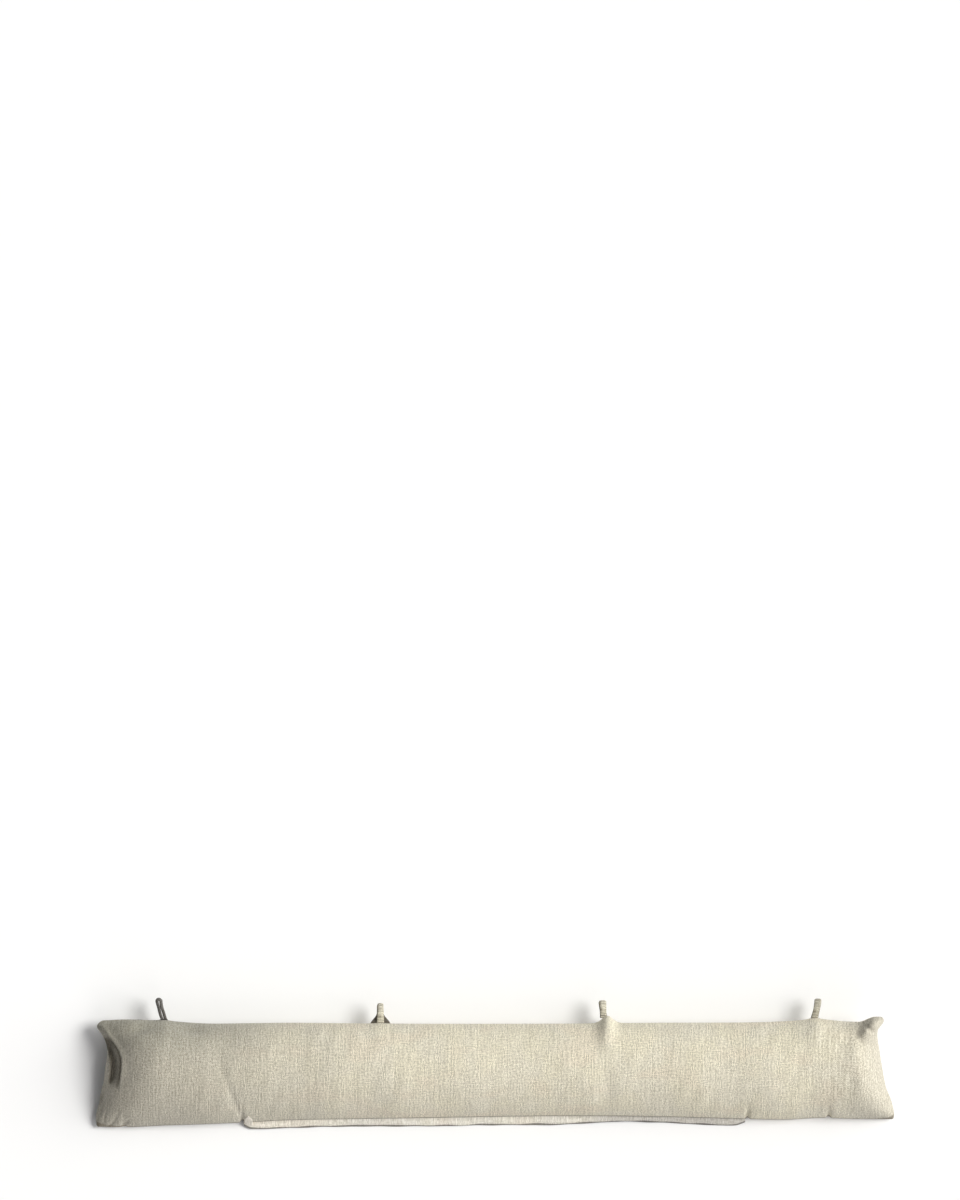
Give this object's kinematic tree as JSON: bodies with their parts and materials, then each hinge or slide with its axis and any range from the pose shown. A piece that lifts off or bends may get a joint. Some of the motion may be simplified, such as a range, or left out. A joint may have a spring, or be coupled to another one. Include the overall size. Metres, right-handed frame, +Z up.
{
  "type": "draught excluder",
  "caption": "Long filled linen cushion laid along a door's foot to stop draughts, with a closure flange along its bottom seam and tape loops in its top seam to hang it by.",
  "frame": {"origin": "centre of the whole object's footprint, on the surface that it lies on", "axes": "+X along the cushion, +Y towards the seam that holds the loops, +Z up out of its face"},
  "size_m": [0.9, 0.147, 0.0702],
  "materials": {
    "linen": "matte plain-weave linen with slubs",
    "linen_tape": "matte folded linen tape"
  },
  "bodies": {
    "root": {"cover": "linen", "closure_flange": "linen", "hanging_loop_1": "linen_tape", "hanging_loop_2": "linen_tape", "hanging_loop_3": "linen_tape", "hanging_loop_4": "linen_tape"}
  },
  "joints": []
}
